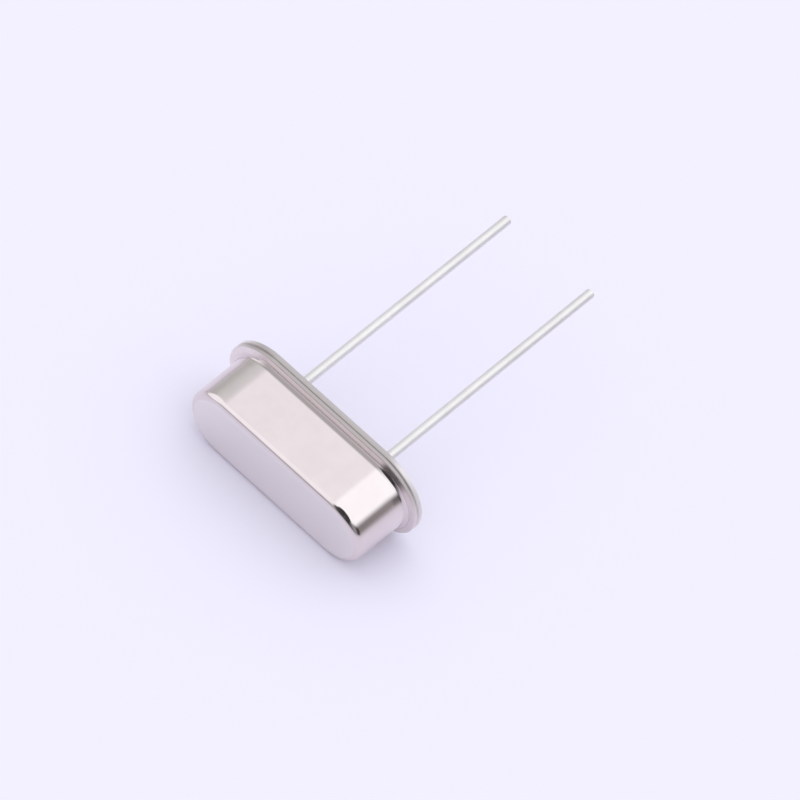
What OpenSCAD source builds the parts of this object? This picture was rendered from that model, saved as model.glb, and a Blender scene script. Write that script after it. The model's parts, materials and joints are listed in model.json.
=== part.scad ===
// Quartz crystal unit in a low-profile welded can, with two wire leads.
// It lies on its side as it comes to rest: the flange and the rim of the closed end touch the ground.
// Each piece is drawn upright, with the seating face at z = 0, the can above it and the leads below.

/* [Can] */
// Outside length of the drawn can
can_l = 9.9; // [8.3:0.05:12.1]
// Outside width of the drawn can
can_w = 3.7; // [3.1:0.05:4.4]
// Height of the closed end above the seating face
can_h = 3.3; // [2.8:0.05:4.2]
// Thickness of the can's sheet
can_wall = 0.2; // [0.15:0.01:0.25]
// Outside radius of the rim round the closed end
rim_r = 0.35; // [0.15:0.01:0.5]
// Height of the sloping neck between the wall and the flange
neck_h = 0.17; // [0.1:0.01:0.25]
// How far the sloping neck reaches out over the flange
neck_out = 0.2; // [0.1:0.01:0.25]

/* [Flange] */
// How far both flanges stand out from the can's wall
flange_out = 0.46; // [0.35:0.01:0.65]
// Rounding of the flanges' outer edges on their outside faces
roll_r = 0.09; // [0.05:0.01:0.12]
// Rounding of the two edges that meet at the joint
seam_r = 0.05; // [0.02:0.01:0.08]

/* [Base] */
// Thickness of the base's flange
base_t = 0.28; // [0.2:0.01:0.35]
// Height of the base's plug above the seating face
plug_h = 0.75; // [0.6:0.05:0.9]
// Clearance between the plug and the can's wall
plug_gap = 0.2; // [0.1:0.01:0.3]
// Rounding of the plug's upper edge
plug_r = 0.1; // [0.05:0.01:0.2]
// Diameter of the two eyelet holes
eyelet_d = 1.3; // [1:0.05:1.6]
// How far the glass stops short of the seating face
seal_recess = 0.06; // [0.02:0.01:0.15]

/* [Leads] */
// Diameter of the wire
lead_d = 0.43; // [0.35:0.01:0.55]
// Distance between the two wires' axes
lead_pitch = 4.88; // [4:0.01:5.9]
// Free length below the seating face
lead_l = 13; // [3:0.1:16]
// How much thicker the wire is under its head
swell = 0.06; // [0.02:0.01:0.1]
// Diameter of the flattened head
head_d = 0.9; // [0.7:0.05:1.1]
// Thickness of the flattened head
head_t = 0.15; // [0.1:0.01:0.2]
// Gap between the plug and the underside of the head
head_gap = 0.1; // [0.05:0.01:0.2]
// Chamfer on the cut end of the wire
tip_cut = 0.04; // [0.01:0.01:0.08]

/* [Quartz blank] */
// Clearance between the blank's end and the can's wall
end_gap = 0.85; // [0.6:0.05:1.2]
// Clearance between the blank's upper edge and the closed end
head_room = 0.3; // [0.2:0.05:0.5]
// Clearance between the clips' feet and the blank's lower edge
blank_lift = 0.1; // [0.05:0.01:0.2]
// Thickness of the blank
blank_t = 0.28; // [0.15:0.01:0.35]
// Corner cut of the blank
blank_cut = 0.1; // [0.05:0.01:0.2]

/* [Electrodes] */
// Length of the film on the middle of the blank
pad_l = 3.6; // [2:0.1:4.5]
// Bare margin between the film and the blank's long edges
pad_margin = 0.2; // [0.1:0.01:0.3]
// Width of the tab that runs to the blank's end
tab_w = 0.7; // [0.4:0.05:0.9]
// Thickness of the film
film_t = 0.02; // [0.02:0.005:0.04]

/* [Clips] */
// Thickness of the spring strip
clip_t = 0.1; // [0.06:0.01:0.12]
// Width of the spring strip
clip_w = 0.8; // [0.7:0.01:0.9]
// Inside radius of the strip's bend
bend_r = 0.12; // [0.05:0.01:0.2]
// How far the blank's end passes through the fork
grip = 0.25; // [0.15:0.01:0.4]
// Clearance between the fork and the film on the blank
fork_gap = 0.03; // [0.02:0.005:0.05]
// Clearance between the top of the fork and the blank's upper edge
fork_drop = 0.15; // [0:0.01:0.3]

/* [Adhesive] */
// Radius of a dot
dot_r = 0.5; // [0.4:0.01:0.55]

/* [Hidden] */
$fn = 64;
// Cutters run past what they cut by this much
over = 0.5;

straight_l = can_l - can_w;
flange_w = can_w + 2 * flange_out;
flange_top = base_t + can_wall;
inner_l = can_l - 2 * can_wall;
inner_w = can_w - 2 * can_wall;
ceiling_z = can_h - can_wall;
inner_rim_r = max(rim_r - can_wall, 0.04);
// The sheet is as thick in the sloping neck as anywhere, so its inside slope is a larger triangle
neck_l = norm([neck_out, neck_h]);
mouth_out = neck_out + can_wall * (neck_out + neck_h - neck_l) / neck_h;
mouth_h = neck_h + can_wall * (neck_out + neck_h - neck_l) / neck_out;
// The flange's edge stays partly straight however thin the sheet is
can_roll_r = min(roll_r, 0.45 * can_wall);
base_roll_r = min(roll_r, 0.45 * base_t);

head_z = plug_h + head_gap;
clip_z = head_z + head_t;
blank_z = clip_z + clip_t + blank_lift;
blank_top = ceiling_z - head_room;
blank_l = inner_l - 2 * end_gap;
blank_w = blank_top - blank_z;
blank_mid = (blank_z + blank_top) / 2;
fork_x = blank_l / 2 - grip - clip_t;
fork_top = blank_top - fork_drop;
slot_w = blank_t + 2 * film_t + 2 * fork_gap;

// The ground touches the flange's upper edge and the rim. Both are round, so it is their common tangent.
edge_to_rim = [can_h - rim_r - flange_top + can_roll_r, flange_out - can_roll_r + rim_r];
lean = atan2(edge_to_rim[1], edge_to_rim[0]) - asin((rim_r - can_roll_r) / norm(edge_to_rim));
lift = can_roll_r + (flange_w / 2 - can_roll_r) * cos(lean) + (flange_top - can_roll_r) * sin(lean);
reach_front = (can_w / 2 - rim_r) * sin(lean) + (can_h - rim_r) * cos(lean) + rim_r;
reach_back = lead_l * cos(lean) + (lead_d / 2 - tip_cut) * sin(lean);

// Lays an upright piece down on its side, with the whole part centred over the origin
module at_rest() {
    translate([0, (reach_front - reach_back) / 2, lift]) rotate([90 + lean, 0, 0]) children();
}

// Puts a piece drawn on the right-hand side on either side
module on_side(side) {
    if (side == "right") children();
    else mirror([1, 0, 0]) children();
}

// A solid whose half section is the same along the straight sides and round both ends
module obround_solid() {
    rotate([90, 0, 90]) linear_extrude(straight_l, center = true) {
        children();
        mirror([1, 0]) children();
    }
    for (end = [-1, 1])
        translate([end * straight_l / 2, 0, 0]) rotate(-90 * end) rotate_extrude(angle = 180) children();
}

// A plate's half section with the outer edge rounded on its lower and its upper face
module plate_half(half_w, low, high, low_r, high_r) {
    translate([0, low]) square([half_w - low_r, low_r]);
    translate([0, low + low_r]) square([half_w, high - low - low_r - high_r]);
    translate([0, high - high_r]) square([half_w - high_r, high_r]);
    translate([half_w - low_r, low + low_r]) circle(low_r);
    translate([half_w - high_r, high - high_r]) circle(high_r);
}

// A cap's half section, filled, with a round upper corner
module cap_half(half_w, low, high, radius) {
    translate([0, low]) square([half_w, high - low - radius]);
    translate([0, low]) square([half_w - radius, high - low]);
    translate([half_w - radius, high - radius]) circle(radius);
}

// The triangle that a slope leaves in a corner. The corner is at the origin and the slope lies up and to the right.
module slope_web(out, high) {
    polygon([[0, 0], [out, 0], [0, high]]);
}

module can_half() {
    difference() {
        union() {
            cap_half(can_w / 2, base_t, can_h, rim_r);
            plate_half(flange_w / 2, base_t, flange_top, seam_r, can_roll_r);
            translate([can_w / 2, flange_top]) slope_web(neck_out, neck_h);
        }
        translate([0, base_t - over]) square([inner_w / 2, over]);
        cap_half(inner_w / 2, base_t, ceiling_z, inner_rim_r);
        translate([inner_w / 2, base_t]) slope_web(mouth_out, mouth_h);
    }
}

module can() {
    color([0.86, 0.84, 0.83]) at_rest() obround_solid() can_half();
}

module base_half() {
    plate_half(flange_w / 2, 0, base_t, base_roll_r, seam_r);
    cap_half(inner_w / 2 - plug_gap, 0, plug_h, plug_r);
}

module base() {
    color([0.74, 0.71, 0.68]) at_rest() difference() {
        obround_solid() base_half();
        for (side = [-1, 1])
            translate([side * lead_pitch / 2, 0, -over]) cylinder(h = plug_h + 2 * over, d = eyelet_d);
    }
}

// The wire's swell starts at the glass, so its straight round wall is the free length alone
module wire() {
    translate([0, 0, -lead_l]) cylinder(h = tip_cut, r1 = lead_d / 2 - tip_cut, r2 = lead_d / 2);
    translate([0, 0, tip_cut - lead_l]) cylinder(h = lead_l - tip_cut + seal_recess, d = lead_d);
    translate([0, 0, seal_recess])
        cylinder(h = head_z - seal_recess, d1 = lead_d, d2 = lead_d + 2 * swell);
    translate([0, 0, head_z]) cylinder(h = head_t, d = head_d);
}

module lead(side) {
    color([0.80, 0.79, 0.78]) at_rest() on_side(side) translate([lead_pitch / 2, 0, 0]) wire();
}

module seal(side) {
    color([0.16, 0.22, 0.24]) at_rest() on_side(side) translate([lead_pitch / 2, 0, 0]) difference() {
        translate([0, 0, seal_recess]) cylinder(h = plug_h - seal_recess, d = eyelet_d);
        wire();
    }
}

// The clip's strip seen from its edge: the foot, the bend and the upright, with the foot's face at the origin
module strip_edge() {
    turn = [fork_x - bend_r, clip_t + bend_r];
    translate([lead_pitch / 2, 0]) square([turn.x - lead_pitch / 2, clip_t]);
    translate([fork_x, turn.y]) square([clip_t, fork_top - clip_z - turn.y]);
    translate(turn) intersection() {
        difference() {
            circle(bend_r + clip_t);
            circle(bend_r);
        }
        translate([0, -bend_r - clip_t]) square(bend_r + clip_t);
    }
}

// A strip with a round foot on the lead's head, one bend, and a fork that stands up at the blank's end
module clip_shape() {
    difference() {
        translate([0, 0, clip_z]) union() {
            rotate([90, 0, 0]) linear_extrude(clip_w, center = true) strip_edge();
            translate([lead_pitch / 2, 0, 0]) rotate(90) rotate_extrude(angle = 180)
                square([clip_w / 2, clip_t]);
        }
        translate([fork_x - over, -slot_w / 2, blank_z]) cube([clip_t + 2 * over, slot_w, blank_w + over]);
    }
}

module clip(side) {
    color([0.72, 0.68, 0.58]) at_rest() on_side(side) clip_shape();
}

// Stands a flat outline up on edge round the blank's middle, from one depth to another
module upright_plate(from, to) {
    translate([0, to, blank_mid]) rotate([90, 0, 0]) linear_extrude(to - from) children();
}

module blank_outline() {
    x = blank_l / 2;
    z = blank_w / 2;
    polygon([[x - blank_cut, -z], [x, blank_cut - z], [x, z - blank_cut], [x - blank_cut, z],
             [blank_cut - x, z], [-x, z - blank_cut], [-x, blank_cut - z], [blank_cut - x, -z]]);
}

module blank_shape() {
    upright_plate(-blank_t / 2, blank_t / 2) blank_outline();
}

module quartz_blank() {
    color([0.90, 0.93, 0.95, 0.6]) at_rest() blank_shape();
}

// The film's pad, with its tab to the right-hand end
module film_outline() {
    square([pad_l, blank_w - 2 * pad_margin], center = true);
    translate([0, -tab_w / 2]) square([blank_l / 2, tab_w]);
}

// The front film's tab runs to the left-hand clip, the rear film's to the right-hand one
module film(face) {
    if (face == "front") upright_plate(blank_t / 2, blank_t / 2 + film_t) mirror([1, 0]) film_outline();
    else upright_plate(-blank_t / 2 - film_t, -blank_t / 2) film_outline();
}

module electrode(face) {
    color([0.88, 0.88, 0.90]) at_rest() film(face);
}

module glue(side) {
    color([0.62, 0.61, 0.60]) at_rest() difference() {
        on_side(side) translate([fork_x + clip_t / 2, 0, blank_mid]) sphere(dot_r);
        blank_shape();
        film("front");
        film("rear");
        on_side(side) clip_shape();
    }
}

can();
base();
seal("left");  // seal_left
seal("right");  // seal_right
lead("left");  // lead_left
lead("right");  // lead_right
clip("left");  // clip_left
clip("right");  // clip_right
quartz_blank();
electrode("front");  // electrode_front
electrode("rear");  // electrode_rear
glue("left");  // glue_left
glue("right");  // glue_right
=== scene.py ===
import json
import math

import bmesh
import bpy
from mathutils import Matrix, Vector
from mathutils import noise as noise_field


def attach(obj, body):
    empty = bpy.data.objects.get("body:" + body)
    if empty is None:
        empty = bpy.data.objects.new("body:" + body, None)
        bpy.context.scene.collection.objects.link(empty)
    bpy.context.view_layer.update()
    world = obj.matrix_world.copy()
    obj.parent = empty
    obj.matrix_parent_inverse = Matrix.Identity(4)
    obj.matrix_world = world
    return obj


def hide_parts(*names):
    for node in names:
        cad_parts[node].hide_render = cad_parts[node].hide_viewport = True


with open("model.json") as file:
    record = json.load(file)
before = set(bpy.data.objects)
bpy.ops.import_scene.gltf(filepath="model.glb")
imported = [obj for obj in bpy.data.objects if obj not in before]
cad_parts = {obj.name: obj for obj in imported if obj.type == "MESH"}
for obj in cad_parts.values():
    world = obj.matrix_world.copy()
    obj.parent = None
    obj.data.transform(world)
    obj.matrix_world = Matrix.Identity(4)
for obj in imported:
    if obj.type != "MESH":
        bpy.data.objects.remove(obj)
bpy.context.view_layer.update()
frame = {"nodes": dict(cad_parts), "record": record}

# ---------------------------------------------------------------------------------------------------
# BASE. The stamped steel header that closes the can: a flange as wide as the can's own, a plug that stands
# up into the can, and two eyelets for the glass. It is nickel plated, and its flange is welded to the can's.
# The flange's cut edge is dull, with a painted highlight round the ends that is weaker at the left end, and
# it is stained beside the weld.
flange_half_w = 2.31
straight_l = 6.2
base_t = 0.28
edge_roll = 0.09
seam_roll = 0.05
plug_half_w = 1.45
plug_h = 0.75
plug_roll = 0.1
eyelet_r = 0.65
eyelet_roll = 0.03
eyelet_steps = 64
cutter_past = 0.5
lead_x = 2.44
sharp_from = math.radians(35)
plate_fresh = (0.74, 0.70, 0.69, 1)
plate_worn = (0.69, 0.65, 0.635, 1)
cut_dull = (0.60, 0.56, 0.565, 1)
cut_edge_highlight = (0.88, 0.835, 0.86, 1)
stain_colour = (0.30, 0.27, 0.275, 1)
stain_all_round = 0.14
stain_on_shoulders = 0.32
stain_h = 0.11

# Every piece is drawn upright in millimetres, with the seating face at height 0 and the can above it. The
# part lies on its flange's edge and its closed end's rim, and this matrix lays an upright piece down there.
seat = next(m for m in frame["record"]["mounts"] if m["name"] == "seating_face")
up = -Vector(seat["axis"]).normalized()
along = Vector((1, 0, 0))
turn = Matrix((along, up.cross(along), up)).transposed()
MM = 0.001
lying = Matrix.Translation(seat["pos_m"]) @ turn.to_4x4() @ Matrix.Scale(MM, 4)


def arc(r, z, radius, start, end, steps=10):
    """Points of a section on an arc round (r, z), with the angles in degrees from the outward direction."""
    angles = [math.radians(start + (end - start) * i / steps) for i in range(steps + 1)]
    return [(r + radius * math.cos(a), z + radius * math.sin(a)) for a in angles]


def join_flats(bm):
    """Joins the faces that lie in one plane, so that a flat shades flat right up to its edge."""
    bmesh.ops.dissolve_limit(bm, angle_limit=math.radians(0.05), verts=bm.verts, edges=bm.edges)


def sweep(section, stations):
    """Carries a half section, from axis to axis, past each station (centre x, outward x, outward y)."""
    bm = bmesh.new()
    rings = [[bm.verts.new((cx + r * ox, r * oy, z)) for r, z in section] for cx, ox, oy in stations]
    for here, there in zip(rings, rings[1:] + rings[:1]):
        for i in range(len(section) - 1):
            bm.faces.new((here[i], here[i + 1], there[i + 1], there[i]))
    bmesh.ops.remove_doubles(bm, verts=bm.verts, dist=1e-5)
    bmesh.ops.recalc_face_normals(bm, faces=bm.faces)
    join_flats(bm)
    return bm


def obround(section, end_steps=96):
    """Two straight sides and two half turns of the same half section."""
    stations = []
    for side in (1, -1):
        for i in range(end_steps + 1):
            a = math.pi * (i / end_steps - 0.5 * side)
            stations.append((side * straight_l / 2, math.cos(a), math.sin(a)))
    return sweep(section, stations)


def turned(section, x, steps=48):
    """A round piece turned about an upright axis at x."""
    angles = [2 * math.pi * i / steps for i in range(steps)]
    return sweep(section, [(x, math.cos(a), math.sin(a)) for a in angles])


def laid_down(name, bm):
    """Makes the drawn mesh an object that lies as the part does, smooth but for its sharp edges."""
    bm.transform(lying)
    mesh = bpy.data.meshes.new(name)
    bm.to_mesh(mesh)
    bm.free()
    mesh.shade_smooth()
    mesh.set_sharp_from_angle(angle=sharp_from)
    piece = bpy.data.objects.new(name, mesh)
    bpy.context.scene.collection.objects.link(piece)
    return piece


def flat_faces_true(piece):
    """Keeps the flat faces' shading flat right up to the curves that they run into."""
    smooth = piece.modifiers.new("true_flats", "WEIGHTED_NORMAL")
    smooth.weight = 100
    smooth.keep_sharp = True


def cut_out(piece, cutters):
    """Cuts other objects out of a piece, all at once, and leaves the result in its mesh."""
    together = bpy.data.collections.new("cutters")
    for cutter in cutters:
        together.objects.link(cutter)
    cut = piece.modifiers.new("cut", "BOOLEAN")
    cut.operand_type = "COLLECTION"
    cut.collection = together
    cut.operation = "DIFFERENCE"
    cut.solver = "EXACT"
    graph = bpy.context.evaluated_depsgraph_get()
    mesh = bpy.data.meshes.new_from_object(piece.evaluated_get(graph))
    piece.modifiers.clear()
    bpy.data.collections.remove(together)
    bm = bmesh.new()
    bm.from_mesh(mesh)
    join_flats(bm)
    bmesh.ops.dissolve_degenerate(bm, edges=bm.edges, dist=1e-8)
    bm.to_mesh(mesh)
    bm.free()
    piece.data = mesh


def add(tree, kind, inputs=None, **settings):
    """A shader node with its settings, and its inputs set to numbers or joined to other nodes' outputs."""
    node = tree.nodes.new("ShaderNode" + kind)
    for key, value in settings.items():
        setattr(node, key, value)
    for key, value in (inputs or {}).items():
        if isinstance(value, bpy.types.NodeSocket):
            tree.links.new(value, node.inputs[key])
        else:
            node.inputs[key].default_value = value
    return node


def new_material(name):
    """A material's tree, its main shader, and the upright millimetres of each point on the surface."""
    material = bpy.data.materials.new(name)
    material.use_nodes = True
    tree = material.node_tree
    seen = add(tree, "TexCoord").outputs["Object"]
    laid = {"Vector": seen, "Location": seat["pos_m"], "Rotation": turn.to_euler(), "Scale": (MM, MM, MM)}
    place = add(tree, "Mapping", laid, vector_type="TEXTURE").outputs[0]
    return material, tree, tree.nodes["Principled BSDF"], place


def cloud(tree, place, scale, detail=2.0, stretch=(1, 1, 1), turned_by=(0, 0, 0)):
    """Cloudy noise from 0 to 1, with scale clouds to the millimetre, drawn out where stretch is small."""
    moved = add(tree, "Mapping", {"Vector": place, "Rotation": turned_by, "Scale": stretch}).outputs[0]
    return add(tree, "TexNoise", {"Vector": moved, "Scale": scale, "Detail": detail}).outputs["Fac"]


def ramp(tree, value, low, high, to_low=0.0, to_high=1.0):
    """Turns low...high smoothly into to_low...to_high."""
    return add(tree, "MapRange", {0: value, 1: low, 2: high, 3: to_low, 4: to_high},
               interpolation_type="SMOOTHSTEP").outputs[0]


def calc(tree, operation, a, b=0.0, c=0.0):
    """One sum on up to three values."""
    return add(tree, "Math", {0: a, 1: b, 2: c}, operation=operation).outputs[0]


def blended(tree, amount, first, second):
    """A colour between two others."""
    return add(tree, "Mix", {"Factor": amount, 6: first, 7: second}, data_type="RGBA").outputs[2]


def relief(tree, shader, micrometres):
    """Raises the surface by a height in micrometres."""
    bump = add(tree, "Bump", {"Strength": 1.0, "Distance": 1e-6, "Height": micrometres})
    tree.links.new(bump.outputs[0], shader.inputs["Normal"])


def on_the_obround(tree, place):
    """A point's distance from the middle line, how far it is past the straight sides, and its height."""
    parts = add(tree, "SeparateXYZ", {0: place})
    from_centre = calc(tree, "ABSOLUTE", parts.outputs[0])
    past_end = calc(tree, "MAXIMUM", calc(tree, "SUBTRACT", from_centre, straight_l / 2), 0)
    flat = add(tree, "CombineXYZ", {0: past_end, 1: parts.outputs[1], 2: 0.0}).outputs[0]
    from_middle = add(tree, "VectorMath", {0: flat}, operation="LENGTH").outputs["Value"]
    return from_middle, past_end, parts.outputs[2]


def heat_stained(tree, colour, past_end, height):
    """A cut edge's colour, darkened beside the weld's seam, most on the shoulders of the ends."""
    off_seam = calc(tree, "ABSOLUTE", calc(tree, "SUBTRACT", height, base_t))
    shoulder = calc(tree, "MULTIPLY", ramp(tree, past_end, 0.0, 0.5), ramp(tree, past_end, 2.1, 1.5))
    strength = calc(tree, "MULTIPLY_ADD", shoulder, stain_on_shoulders, stain_all_round)
    stain = calc(tree, "MULTIPLY", ramp(tree, off_seam, stain_h, 0.03), strength)
    return blended(tree, stain, colour, stain_colour)


base_section = (
    [(0, 0)]
    + arc(flange_half_w - edge_roll, edge_roll, edge_roll, -90, 0)
    + arc(flange_half_w - seam_roll, base_t - seam_roll, seam_roll, 0, 90, 5)
    + [(plug_half_w, base_t)]
    + arc(plug_half_w - plug_roll, plug_h - plug_roll, plug_roll, 0, 90)
    + [(0, plug_h)]
)
eyelet_section = (
    [(0, -cutter_past), (eyelet_r + eyelet_roll, -cutter_past)]
    + arc(eyelet_r + eyelet_roll, eyelet_roll, eyelet_roll, 270, 180, 5)
    + [(eyelet_r, plug_h + cutter_past), (0, plug_h + cutter_past)]
)
base = laid_down("base_header", obround(base_section))
eyelets = [laid_down("eyelet_cutter", turned(eyelet_section, x, eyelet_steps)) for x in (-lead_x, lead_x)]
cut_out(base, eyelets)
base.data.set_sharp_from_angle(angle=sharp_from)
for eyelet in eyelets:
    bpy.data.objects.remove(eyelet)
flat_faces_true(base)

steel, tree, shader, place = new_material("plated_steel")
from_middle, past_end, height = on_the_obround(tree, place)
mottle = cloud(tree, place, 0.9, 4)
grain = cloud(tree, place, 9, 3, (1, 0.12, 1))
trimmed = ramp(tree, from_middle, flange_half_w - 0.14, flange_half_w - 0.05)
colour = blended(tree, ramp(tree, mottle, 0.35, 0.7), plate_fresh, plate_worn)
# Painted highlight: the cut edge is painted brighter round the ends, less so at the left end.
at_left = ramp(tree, add(tree, "SeparateXYZ", {0: place}).outputs[0], 0.2 - straight_l / 2, -straight_l / 2)
end_highlight = ramp(tree, calc(tree, "MULTIPLY_ADD", at_left, -0.75, past_end), 0.1, 1.1)
highlighted_cut_edge = blended(tree, end_highlight, cut_dull, cut_edge_highlight)
colour = blended(tree, trimmed, colour, heat_stained(tree, highlighted_cut_edge, past_end, height))
tree.links.new(colour, shader.inputs["Base Color"])
shader.inputs["Metallic"].default_value = 1
dull = calc(tree, "MULTIPLY_ADD", grain, 0.12, 0.2)
tree.links.new(calc(tree, "MULTIPLY_ADD", trimmed, 0.4, dull), shader.inputs["Roughness"])
relief(tree, shader, calc(tree, "MULTIPLY_ADD", grain, 0.7, calc(tree, "MULTIPLY", mottle, 3.0)))
base.data.materials.clear()
base.data.materials.append(steel)
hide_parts("base")
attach(base, "root")

# ---------------------------------------------------------------------------------------------------
# GLASS SEALS. A bead of dark sealing glass is melted into each eyelet. It wets the wire and the eyelet's
# wall, so both of its faces sag a little between them, and it keeps a few tiny bubbles.
seal_low = 0.06
wire_r = 0.215
wire_swell = 0.06
head_z = 0.85
sag = 0.035
sag_flatness = 2.6
glass_dark = (0.030, 0.042, 0.046, 1)
glass_light = (0.060, 0.082, 0.086, 1)
bubble_colour = (0.16, 0.20, 0.20, 1)


def wire_radius(z):
    """The wire swells evenly from the glass up to its head."""
    return wire_r + wire_swell * (z - seal_low) / (head_z - seal_low)


def sagging(z, depth, steps=12):
    """A face of the glass from the wire to the eyelet, sagging between them."""
    near = wire_radius(z)
    shares = [i / steps for i in range(steps + 1)]
    return [(near + (eyelet_r - near) * s, z + depth * (1 - abs(2 * s - 1) ** sag_flatness)) for s in shares]


glass, tree, shader, place = new_material("sealing_glass")
swirl = cloud(tree, place, 3.0, 4, (1, 1, 0.5))
bubble = add(tree, "TexVoronoi", {"Vector": place, "Scale": 14.0}, feature="F1").outputs["Distance"]
bubble_seen = ramp(tree, bubble, 0.22, 0.1)
colour = blended(tree, ramp(tree, swirl, 0.35, 0.65), glass_dark, glass_light)
colour = blended(tree, calc(tree, "MULTIPLY", bubble_seen, 0.5), colour, bubble_colour)
tree.links.new(colour, shader.inputs["Base Color"])
tree.links.new(calc(tree, "MULTIPLY_ADD", swirl, 0.12, 0.08), shader.inputs["Roughness"])
shader.inputs["IOR"].default_value = 1.52
relief(tree, shader, calc(tree, "MULTIPLY_ADD", bubble_seen, -2.0, calc(tree, "MULTIPLY", swirl, 5.0)))
for side, x in (("left", -lead_x), ("right", lead_x)):
    lower = sagging(seal_low, sag)
    upper = sagging(plug_h, -sag)
    bm = turned(lower + upper[::-1] + lower[:1], x, eyelet_steps)
    seal = laid_down("glass_seal_" + side, bm)
    seal.data.materials.append(glass)
    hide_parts("seal_" + side)
    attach(seal, "root")

# ---------------------------------------------------------------------------------------------------
# LEADS. Two straight wires of sealing alloy. Each is headed at its inner end, so that it swells under a flat
# disc, and its free length is hot tinned and then cut to length, which leaves a small burr-free chamfer.
lead_l = 13.0
tip_cut = 0.04
head_r = 0.45
head_t = 0.15
head_roll = 0.03
wire_rings = 52
swell_rings = 8
tin_fresh = (0.87, 0.85, 0.865, 1)
tin_dull = (0.82, 0.80, 0.81, 1)
speck_colour = (0.70, 0.68, 0.68, 1)

swell_heights = [seal_low + (head_z - seal_low) * i / swell_rings for i in range(swell_rings + 1)]
wire_section = (
    [(0, -lead_l)]
    + [(wire_r - tip_cut, -lead_l)]
    + arc(wire_r - tip_cut, tip_cut - lead_l, tip_cut, -75, 0, 5)
    + [(wire_r, -lead_l * (1 - i / wire_rings)) for i in range(1, wire_rings)]
    + [(wire_radius(z), z) for z in swell_heights]
    + arc(head_r - head_roll, head_z + head_roll, head_roll, -90, 0, 4)
    + arc(head_r - head_roll, head_z + head_t - head_roll, head_roll, 0, 90, 4)
    + [(0, head_z + head_t)]
)

tin, tree, shader, place = new_material("tinned_wire")
drawn = cloud(tree, place, 30, 2, (1, 1, 0.03))
wave = cloud(tree, place, 1.1, 2, (1, 1, 0.8))
speck = cloud(tree, place, 14, 3)
colour = blended(tree, ramp(tree, wave, 0.3, 0.7), tin_fresh, tin_dull)
colour = blended(tree, ramp(tree, speck, 0.6, 0.75, 0, 0.4), colour, speck_colour)
tree.links.new(colour, shader.inputs["Base Color"])
shader.inputs["Metallic"].default_value = 1
tree.links.new(calc(tree, "MULTIPLY_ADD", speck, 0.14, 0.48), shader.inputs["Roughness"])
heights = calc(tree, "MULTIPLY_ADD", drawn, 0.5, calc(tree, "MULTIPLY", wave, 8.0))
relief(tree, shader, calc(tree, "MULTIPLY_ADD", speck, 0.6, heights))
for side, x in (("left", -lead_x), ("right", lead_x)):
    lead = laid_down("wire_lead_" + side, turned(wire_section, x))
    flat_faces_true(lead)
    lead.data.materials.append(tin)
    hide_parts("lead_" + side)
    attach(lead, "root")

# ---------------------------------------------------------------------------------------------------
# CLIPS. Each is a thin spring strip of nickel silver, blanked flat with a round foot and a fork, then bent up
# once. The foot is spot welded on the lead's head, and the fork takes the end of the quartz blank.
clip_t = 0.1
clip_half_w = 0.4
clip_z = head_z + head_t
bend_r = 0.12
fork_x = 3.55
fork_top = 2.65
blank_z = 1.2
fork_half_slot = 0.19
bend_steps = 10
foot_steps = 24
blanked_edge_r = 0.012
strip_bright = (0.72, 0.68, 0.58, 1)
strip_stained = (0.64, 0.59, 0.48, 1)

bend_x = fork_x - bend_r
bend_z = clip_z + clip_t + bend_r
bend_l = (bend_r + clip_t / 2) * math.pi / 2
foot_l = bend_x - lead_x
strip_l = foot_l + bend_l + fork_top - bend_z
slot_start = foot_l + bend_l + blank_z - bend_z


def bent(u, v, w):
    """Where a point of the flat strip goes: u along it from the foot's middle, v across, w up through it."""
    if u <= foot_l:
        return (lead_x + u, v, clip_z + w)
    if u >= foot_l + bend_l:
        return (fork_x + clip_t - w, v, bend_z + u - foot_l - bend_l)
    a = (u - foot_l) / bend_l * math.pi / 2
    r = bend_r + clip_t - w
    return (bend_x + r * math.sin(a), v, bend_z - r * math.cos(a))


def blanked_strip():
    """The strip's flat outline, cut across at the bend, given its thickness and bent up."""
    round_foot = [math.pi * (0.5 + i / foot_steps) for i in range(foot_steps + 1)]
    foot = [(clip_half_w * math.cos(a), clip_half_w * math.sin(a)) for a in round_foot]
    fork = [
        (strip_l, -clip_half_w),
        (strip_l, -fork_half_slot),
        (slot_start, -fork_half_slot),
        (slot_start, fork_half_slot),
        (strip_l, fork_half_slot),
        (strip_l, clip_half_w),
    ]
    bm = bmesh.new()
    bm.faces.new([bm.verts.new((u, v, 0)) for u, v in foot + fork])
    for i in range(bend_steps + 1):
        cut_at = (foot_l + bend_l * i / bend_steps, 0, 0)
        whole = bm.verts[:] + bm.edges[:] + bm.faces[:]
        bmesh.ops.bisect_plane(bm, geom=whole, plane_co=cut_at, plane_no=(1, 0, 0))
    sheet = bmesh.ops.extrude_face_region(bm, geom=bm.faces[:])["geom"]
    for corner in [v for v in sheet if isinstance(v, bmesh.types.BMVert)]:
        corner.co.z = clip_t
    for corner in bm.verts:
        corner.co = bent(*corner.co)
    bmesh.ops.recalc_face_normals(bm, faces=bm.faces)
    return bm


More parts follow.
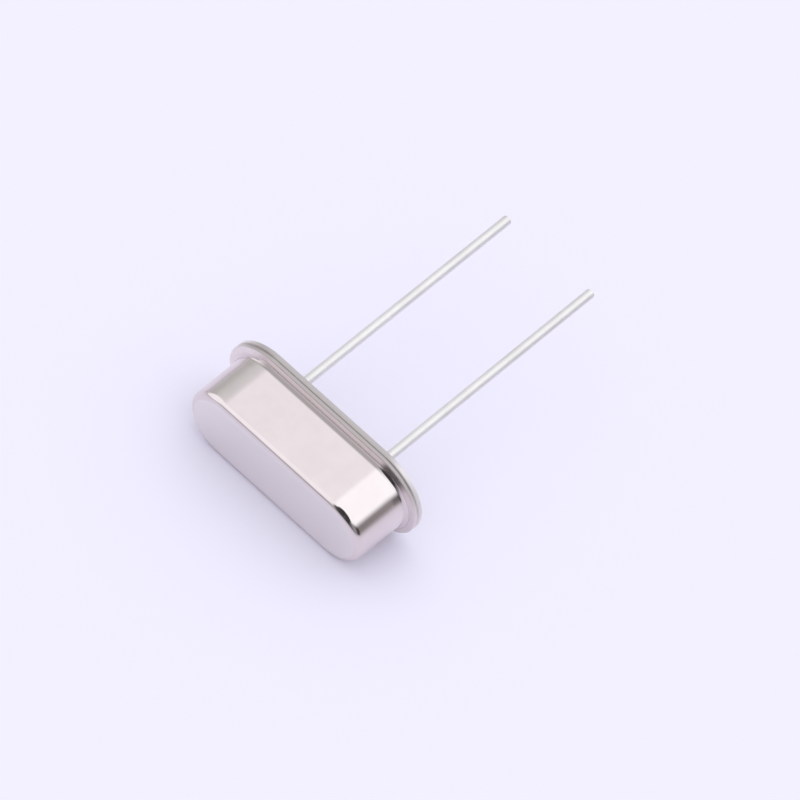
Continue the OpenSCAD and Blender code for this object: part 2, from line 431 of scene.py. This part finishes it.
spring, tree, shader, place = new_material("rolled_nickel_silver")
rolled = cloud(tree, place, 22, 3, (0.06, 1, 0.06))
stain = cloud(tree, place, 2.2, 3)
colour = blended(tree, ramp(tree, stain, 0.35, 0.7), strip_bright, strip_stained)
tree.links.new(colour, shader.inputs["Base Color"])
shader.inputs["Metallic"].default_value = 1
tree.links.new(calc(tree, "MULTIPLY_ADD", rolled, 0.2, 0.16), shader.inputs["Roughness"])
relief(tree, shader, calc(tree, "MULTIPLY_ADD", rolled, 0.8, calc(tree, "MULTIPLY", stain, 1.5)))
for side, mirror in (("left", -1), ("right", 1)):
    bm = blanked_strip()
    bm.transform(Matrix.Scale(mirror, 4, (1, 0, 0)))
    bmesh.ops.recalc_face_normals(bm, faces=bm.faces)
    clip = laid_down("spring_clip_" + side, bm)
    blanked = clip.modifiers.new("blanked_edges", "BEVEL")
    blanked.width = blanked_edge_r * MM
    blanked.segments = 2
    blanked.limit_method = "ANGLE"
    blanked.angle_limit = sharp_from
    flat_faces_true(clip)
    clip.data.materials.append(spring)
    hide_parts("clip_" + side)
    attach(clip, "root")

# ---------------------------------------------------------------------------------------------------
# QUARTZ BLANK. The strip of quartz that vibrates, sawn, lapped to thickness and polished, with its four
# corners ground off. It keeps the shape that it has in the frame, and gets its ground edges here.
ground_edge_w = 0.02
quartz_clear = (0.93, 0.955, 0.965, 1)
quartz_hazy = (0.87, 0.91, 0.93, 1)

quartz, tree, shader, place = new_material("lapped_quartz")
lapped = cloud(tree, place, 40, 4)
streak = cloud(tree, place, 1.5, 3, (0.4, 1, 1))
colour = blended(tree, ramp(tree, streak, 0.35, 0.65), quartz_clear, quartz_hazy)
tree.links.new(colour, shader.inputs["Base Color"])
tree.links.new(calc(tree, "MULTIPLY_ADD", lapped, 0.2, 0.12), shader.inputs["Roughness"])
shader.inputs["IOR"].default_value = 1.544
shader.inputs["Transmission Weight"].default_value = 0.85
relief(tree, shader, calc(tree, "MULTIPLY_ADD", lapped, 0.4, calc(tree, "MULTIPLY", streak, 0.6)))
blank = frame["nodes"]["quartz_blank"]
ground = blank.modifiers.new("ground_edges", "BEVEL")
ground.width = ground_edge_w * MM
ground.segments = 2
ground.limit_method = "ANGLE"
ground.angle_limit = math.radians(30)
blank.data.materials.clear()
blank.data.materials.append(quartz)

# ---------------------------------------------------------------------------------------------------
# ELECTRODES. A silver film is evaporated on each broad face of the blank through a mask: a pad on the middle,
# with a tab to one end. It is bright, finely grained and a little tarnished.
silver_bright = (0.90, 0.90, 0.91, 1)
silver_tarnished = (0.84, 0.80, 0.72, 1)

silver, tree, shader, place = new_material("silver_film")
tarnish = cloud(tree, place, 1.6, 4)
fine = cloud(tree, place, 26, 2)
colour = blended(tree, ramp(tree, tarnish, 0.45, 0.75), silver_bright, silver_tarnished)
tree.links.new(colour, shader.inputs["Base Color"])
shader.inputs["Metallic"].default_value = 1
tree.links.new(calc(tree, "MULTIPLY_ADD", fine, 0.14, 0.14), shader.inputs["Roughness"])
relief(tree, shader, calc(tree, "MULTIPLY", fine, 0.35))
for face in ("front", "rear"):
    film = frame["nodes"]["electrode_" + face]
    film.data.materials.clear()
    film.data.materials.append(silver)

# ---------------------------------------------------------------------------------------------------
# ADHESIVE. A dot of silver-filled epoxy wets each fork and the blank's end, fixes them together and joins
# each film to its clip. It sets as a grey, slightly grainy blob, never a perfect ball.
dot_r = 0.5
dot_x = fork_x + clip_t / 2
dot_z = 2.0
dot_least = 0.97
dot_uneven = 0.05
dot_lumps = 1.7
epoxy_dark = (0.60, 0.59, 0.58, 1)
epoxy_light = (0.68, 0.67, 0.66, 1)
flake_colour = (0.82, 0.81, 0.80, 1)

epoxy, tree, shader, place = new_material("silver_epoxy")
flakes = add(tree, "TexVoronoi", {"Vector": place, "Scale": 32.0}, feature="F1")
tone = cloud(tree, place, 5, 3)
colour = blended(tree, ramp(tree, tone, 0.3, 0.7), epoxy_dark, epoxy_light)
bright = ramp(tree, flakes.outputs["Distance"], 0.3, 0.12, 0, 0.7)
colour = blended(tree, bright, colour, flake_colour)
tree.links.new(colour, shader.inputs["Base Color"])
tree.links.new(calc(tree, "MULTIPLY", bright, 0.8), shader.inputs["Metallic"])
tree.links.new(calc(tree, "MULTIPLY_ADD", tone, 0.2, 0.38), shader.inputs["Roughness"])
lumps = calc(tree, "MULTIPLY", tone, 3.0)
relief(tree, shader, calc(tree, "MULTIPLY_ADD", flakes.outputs["Distance"], -3.0, lumps))
for side, mirror in (("left", -1), ("right", 1)):
    bm = bmesh.new()
    bmesh.ops.create_icosphere(bm, subdivisions=5, radius=1)
    own_lumps = Vector((3.1 * mirror, 0.4, 1.9))
    for point in bm.verts:
        uneven = noise_field.noise(point.co * dot_lumps + own_lumps)
        r = dot_r * (dot_least + dot_uneven * uneven)
        point.co = (mirror * dot_x + point.co.x * r, point.co.y * r, dot_z + point.co.z * r)
    dot = laid_down("adhesive_dot_" + side, bm)
    around = ["quartz_blank", "electrode_front", "electrode_rear", "clip_" + side]
    ground.show_viewport = False
    cut_out(dot, [frame["nodes"][name] for name in around])
    ground.show_viewport = True
    dot.data.shade_smooth()
    dot.data.set_sharp_from_angle(angle=sharp_from)
    dot.data.materials.clear()
    dot.data.materials.append(epoxy)
    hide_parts("glue_" + side)
    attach(dot, "root")

# ---------------------------------------------------------------------------------------------------
# CAN. One piece of thin nickel-plated sheet, deep drawn to an obround cap with a tight rim, turned out into a
# flange at its mouth and trimmed all round. The flange is resistance welded to the base's in dry gas, which
# leaves it duller than the wall and stained at the seam. Painted shade darkens the crease at the wall's foot,
# the closed end is painted a little lighter as painted light, and the sheared edge has a painted highlight
# round the ends.
can_half_w = 1.85
can_h = 3.3
can_wall = 0.2
rim_r = 0.35
neck_out = 0.2
neck_h = 0.17
ledge_rise = 0.05
flare = 0.03
flare_h = 0.55
flare_r = 1.5
foot_r = 0.12
foot_drop = 0.02
ledge_bend_r = 0.06
edge_drop = 0.018
edge_r = 0.055
mouth_r = 0.2
throat_r = 0.25
nickel_fresh = (0.80, 0.722, 0.75, 1)
nickel_soft = (0.78, 0.70, 0.728, 1)
painted_light_end_colour = (0.855, 0.812, 0.827, 1)
welded_colour = (0.87, 0.80, 0.81, 1)
crease_shade_colour = (0.36, 0.32, 0.325, 1)
sheared_dull = (0.58, 0.535, 0.535, 1)
sheared_highlight = (0.86, 0.80, 0.83, 1)

flange_top = base_t + can_wall
inner_half_w = can_half_w - can_wall
ceiling_z = can_h - can_wall
inner_rim_r = rim_r - can_wall
neck_l = math.hypot(neck_out, neck_h)
mouth_out = neck_out + can_wall * (neck_out + neck_h - neck_l) / neck_h
mouth_h = neck_h + can_wall * (neck_out + neck_h - neck_l) / neck_out
ledge_r = can_half_w + neck_out * (1 - ledge_rise / neck_h)


def rounded(corners, steps=10):
    """A section through corners (r, z, radius), with each corner rounded off into both of its sides."""
    points = []
    for i, (r, z, radius) in enumerate(corners):
        if radius == 0:
            points.append((r, z))
            continue
        corner = Vector((r, z))
        to_last = (Vector(corners[i - 1][:2]) - corner).normalized()
        to_next = (Vector(corners[i + 1][:2]) - corner).normalized()
        half = to_last.angle(to_next) / 2
        middle = corner + (to_last + to_next).normalized() * radius / math.sin(half)
        start = corner + to_last * radius / math.tan(half) - middle
        end = corner + to_next * radius / math.tan(half) - middle
        first = math.degrees(math.atan2(start.y, start.x))
        bend = math.degrees(math.atan2(start.cross(end), start.dot(end)))
        points += arc(middle.x, middle.y, radius, first, first + bend, steps)
    return points


# The flange rises a little from its edge to the neck. From there the sheet is bent up twice, to a wall that
# flares very slightly at its foot.
can_section = rounded([
    (0, can_h, 0),
    (can_half_w, can_h, rim_r),
    (can_half_w, flange_top + flare_h, flare_r),
    (can_half_w + flare, flange_top + neck_h - foot_drop, foot_r),
    (ledge_r, flange_top + ledge_rise, ledge_bend_r),
    (flange_half_w, flange_top - edge_drop, edge_r),
    (flange_half_w, base_t, seam_roll),
    (inner_half_w + mouth_out, base_t, mouth_r),
    (inner_half_w, base_t + mouth_h, throat_r),
    (inner_half_w, ceiling_z, inner_rim_r),
    (0, ceiling_z, 0),
])
can = laid_down("drawn_can", obround(can_section))
flat_faces_true(can)

nickel, tree, shader, place = new_material("bright_nickel")
from_middle, past_end, height = on_the_obround(tree, place)
trimmed = ramp(tree, from_middle, flange_half_w - 0.05, flange_half_w - 0.015)
welded = ramp(tree, from_middle, ledge_r - 0.02, ledge_r + 0.06)
# Painted light: the closed end's face is painted a little lighter, as if it mirrored a brighter floor.
painted_light_end = ramp(tree, height, can_h - 0.015, can_h - 0.001)
over_ledge = ramp(tree, height, flange_top + 0.01, flange_top + 0.14)
under_wall = ramp(tree, height, flange_top + 0.30, flange_top + 0.18)
neck = calc(tree, "MULTIPLY", over_ledge, under_wall)
# Painted shade: the crease at the wall's foot is darkened, most along the straight sides.
painted_crease_shade = calc(tree, "MULTIPLY", neck, ramp(tree, past_end, 0.0, 0.9, 1.0, 0.15))
draw_lines = cloud(tree, place, 11, 3, (1, 1, 0.03))
peel = cloud(tree, place, 1.4, 3)
swell = cloud(tree, place, 0.3, 1)
rub = cloud(tree, place, 2.0, 4, (0.25, 6, 1), (0.2, 0.3, 0.6))
rubbed = ramp(tree, calc(tree, "ABSOLUTE", calc(tree, "SUBTRACT", rub, 0.5)), 0.012, 0.0)
colour = blended(tree, ramp(tree, peel, 0.35, 0.7), nickel_fresh, nickel_soft)
colour = blended(tree, painted_light_end, colour, painted_light_end_colour)
colour = blended(tree, welded, colour, welded_colour)
colour = blended(tree, painted_crease_shade, colour, crease_shade_colour)
# Painted highlight: the sheared edge is painted brighter round the ends.
highlighted_cut_edge = blended(tree, ramp(tree, past_end, 1.1, 2.3), sheared_dull, sheared_highlight)
colour = blended(tree, trimmed, colour, heat_stained(tree, highlighted_cut_edge, past_end, height))
tree.links.new(colour, shader.inputs["Base Color"])
shader.inputs["Metallic"].default_value = 1
gloss = calc(tree, "MULTIPLY_ADD", draw_lines, 0.06, 0.08)
gloss = calc(tree, "MULTIPLY_ADD", rubbed, 0.05, gloss)
gloss = calc(tree, "MULTIPLY_ADD", welded, 0.18, gloss)
tree.links.new(calc(tree, "MULTIPLY_ADD", trimmed, 0.35, gloss), shader.inputs["Roughness"])
heights = calc(tree, "MULTIPLY_ADD", draw_lines, 0.25, calc(tree, "MULTIPLY", peel, 0.8))
relief(tree, shader, calc(tree, "MULTIPLY_ADD", swell, 6.0, heights))
can.data.materials.append(nickel)
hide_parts("can")
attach(can, "root")

# ---------------------------------------------------------------------------------------------------
# TABLE. A plain pale sheet, far larger than the part, that it lies on. Where the metal mirrors it, the sheet
# carries painted shade: greyer the further off it is, and dark towards the viewer.
table_half = 0.9
corners = ((-1, -1), (1, -1), (1, 1), (-1, 1))
fall_l = 0.2
pale = (0.896, 0.879, 0.998, 1)
shade_colour = (0.05, 0.05, 0.05, 1)
shade_way = (0.26, -0.97, 0)


def graded(tree, value, stops, brightest=1.0):
    """A colour that changes along stops of (place from 0 to 1, colour), divided by the brightest value."""
    band = add(tree, "ValToRGB", {0: value})
    points = band.color_ramp.elements
    while len(points) < len(stops):
        points.new(0.5)
    for point, (position, colour) in zip(points, stops):
        point.position = position
        point.color = [c / brightest for c in colour] + [1]
    return band.outputs[0]


bm = bmesh.new()
bm.faces.new([bm.verts.new((x * table_half, y * table_half, 0)) for x, y in corners])
mesh = bpy.data.meshes.new("table")
bm.to_mesh(mesh)
bm.free()
table = bpy.data.objects.new("table", mesh)
bpy.context.scene.collection.objects.link(table)
paper = bpy.data.materials.new("pale_sheet")
paper.use_nodes = True
tree = paper.node_tree
shader = tree.nodes["Principled BSDF"]
spot = add(tree, "TexCoord").outputs["Object"]
how_far = add(tree, "VectorMath", {0: spot}, operation="LENGTH").outputs["Value"]
# Painted shade, seen only in the metal: the mirrored sheet darkens with distance and towards the viewer.
fall = graded(tree, calc(tree, "MULTIPLY", how_far, 1 / fall_l), [
    (0.0, (0.91, 0.895, 1.0)),
    (0.03, (0.90, 0.88, 0.965)),
    (0.08, (0.815, 0.795, 0.845)),
    (0.15, (0.725, 0.71, 0.74)),
    (0.3, (0.63, 0.62, 0.64)),
    (1.0, (0.45, 0.44, 0.455)),
])
that_way = add(tree, "VectorMath", {0: spot, 1: shade_way}, operation="DOT_PRODUCT").outputs["Value"]
parts = add(tree, "SeparateXYZ", {0: spot})
bearing = calc(tree, "ARCTAN2", parts.outputs[1], parts.outputs[0])
far_enough = ramp(tree, that_way, 0.012, 0.045, 0, 0.65)
shade = calc(tree, "MULTIPLY", far_enough, ramp(tree, bearing, -1.98, -1.68))
mirrored = blended(tree, shade, fall, shade_colour)
path = add(tree, "LightPath")
colour = blended(tree, path.outputs["Is Glossy Ray"], pale, mirrored)
tree.links.new(colour, shader.inputs["Base Color"])
shader.inputs["Roughness"].default_value = 1
shader.inputs["Specular IOR Level"].default_value = 0
mesh.materials.append(paper)

# ---------------------------------------------------------------------------------------------------
# LIGHT. Bright metal mirrors a white tent, brighter on the right and greyer on the far left, open low down to
# a dark room. On the viewer's side it has two white panels and, to the right of them, two dark openings.
# Whatever isn't mirrored gets soft light from overhead, and what is seen past the sheet is the sheet's pale.
brightest = 1.3
haze_colour = (0.62, 0.6, 0.6, 1)
soft_white = (1, 1, 1.045, 1)
soft_least = 0.5
soft_rise = 0.75
world = bpy.data.worlds.new("tent")
bpy.context.scene.world = world
world.use_nodes = True
tree = world.node_tree
tree.nodes.clear()
toward = add(tree, "TexCoord").outputs["Generated"]
parts = add(tree, "SeparateXYZ", {0: toward})
across = parts.outputs[0]
ahead = parts.outputs[1]
rise = parts.outputs[2]
heading = calc(tree, "MULTIPLY_ADD", calc(tree, "ARCTAN2", ahead, across), 0.5 / math.pi, 0.5)


def patch(azimuth, elevation, inner, outer):
    """1 within inner degrees of a direction, fading to 0 at outer degrees from it."""
    a = math.radians(azimuth)
    e = math.radians(elevation)
    middle = (math.cos(e) * math.cos(a), math.cos(e) * math.sin(a), math.sin(e))
    cosine = add(tree, "VectorMath", {0: toward, 1: middle}, operation="DOT_PRODUCT").outputs["Value"]
    return ramp(tree, cosine, math.cos(math.radians(outer)), math.cos(math.radians(inner)))


def grey(level):
    """A plain grey."""
    return (level, level, level)


sky_across = [
    (-1.0, (0.53, 0.54, 0.52)),
    (-0.88, (0.565, 0.585, 0.555)),
    (-0.83, (0.64, 0.66, 0.63)),
    (-0.78, (0.69, 0.71, 0.68)),
    (-0.66, (0.74, 0.76, 0.73)),
    (-0.53, (0.785, 0.795, 0.78)),
    (-0.40, (0.93, 0.93, 0.925)),
    (-0.31, (1.055, 1.06, 1.05)),
    (-0.14, (1.25, 1.29, 1.27)),
    (1.0, (1.25, 1.3, 1.28)),
]
gloom_round = [
    (-180, grey(0.64)),
    (-128, grey(0.6)),
    (-109, grey(0.45)),
    (-96, grey(0.07)),
    (-60, grey(0.03)),
    (-40, grey(0.3)),
    (-25, grey(0.35)),
    (-8, grey(0.05)),
    (8, grey(0.06)),
    (22, (0.31, 0.29, 0.29)),
    (60, grey(0.5)),
    (180, grey(0.64)),
]
sky_stops = [(0.5 + 0.5 * x, colour) for x, colour in sky_across]
gloom_stops = [(0.5 + degrees / 360, colour) for degrees, colour in gloom_round]
sky = graded(tree, calc(tree, "MULTIPLY_ADD", across, 0.5, 0.5), sky_stops, brightest)
gloom = graded(tree, heading, gloom_stops, brightest)
haze = ramp(tree, rise, 0.14, -0.02, 0, 0.45)
far_haze = calc(tree, "MULTIPLY", haze, ramp(tree, ahead, -0.1, 0.3))
gloom = blended(tree, far_haze, gloom, haze_colour)
right_side = ramp(tree, across, -0.2, 0.8)
viewer_side = ramp(tree, ahead, 0.2, -0.6)
low_edge = calc(tree, "MULTIPLY_ADD", right_side, 0.33, 0.09)
low_edge = calc(tree, "MULTIPLY_ADD", viewer_side, 0.05, low_edge)
softness = calc(tree, "MULTIPLY_ADD", right_side, 0.06, 0.08)
over_edge = calc(tree, "DIVIDE", calc(tree, "SUBTRACT", rise, low_edge), softness)
lit = ramp(tree, over_edge, -1.0, 1.0)
mirrored = blended(tree, lit, gloom, sky)
panels_and_openings = [
    (patch(-150, 22, 20, 38), grey(1.12)),
    (patch(-112, 38, 5, 26), grey(1.14)),
    (patch(-88, 23, 12, 20), (0.052, 0.0455, 0.039)),
    (patch(-62, 40, 21, 26), grey(0.039)),
]
for inside, colour in panels_and_openings:
    mirrored = blended(tree, inside, mirrored, [c / brightest for c in colour] + [1])
tent = add(tree, "Background", {0: mirrored, 1: brightest})
overhead = calc(tree, "MULTIPLY_ADD", calc(tree, "MAXIMUM", rise, 0), soft_rise, soft_least)
soft = add(tree, "Background", {0: soft_white, 1: overhead})
plain = add(tree, "Background", {0: pale, 1: 1.0})
path = add(tree, "LightPath")
first_seen = calc(tree, "LESS_THAN", path.outputs["Diffuse Depth"], 0.5)
in_mirror = calc(tree, "MULTIPLY", path.outputs["Is Glossy Ray"], first_seen)
lights = add(tree, "MixShader", {0: in_mirror, 1: soft.outputs[0], 2: tent.outputs[0]})
straight = calc(tree, "MAXIMUM", path.outputs["Is Camera Ray"], path.outputs["Is Transmission Ray"])
shown = add(tree, "MixShader", {0: straight, 1: lights.outputs[0], 2: plain.outputs[0]})
tree.links.new(shown.outputs[0], add(tree, "OutputWorld").inputs["Surface"])

# ---------------------------------------------------------------------------------------------------
# CAMERA. It looks down at the part from the closed end's side, 400 mm off, and leans 19 degrees to one side,
# so that the leads run up and away to the right.
aim = Vector((-0.42894, 0.80932, 0)) * MM
azimuth = math.radians(-60.79101)
elevation = math.radians(49.10987)
roll = math.radians(18.89713)
distance = 399.3474 * MM
lens = 430.95187
film_w = 36
seen_from = 0.01
seen_to = 10

level = math.cos(elevation)
back = Vector((level * math.cos(azimuth), level * math.sin(azimuth), math.sin(elevation)))
camera_data = bpy.data.cameras.new("camera")
camera_data.lens = lens
camera_data.sensor_width = film_w
camera_data.clip_start = seen_from
camera_data.clip_end = seen_to
camera = bpy.data.objects.new("camera", camera_data)
bpy.context.scene.collection.objects.link(camera)
camera.rotation_mode = "QUATERNION"
camera.location = aim + back * distance
leaned = Matrix.Rotation(roll, 3, back).to_quaternion()
camera.rotation_quaternion = leaned @ (-back).to_track_quat("-Z", "Y")
bpy.context.scene.camera = camera
bpy.context.scene.view_settings.view_transform = "Standard"
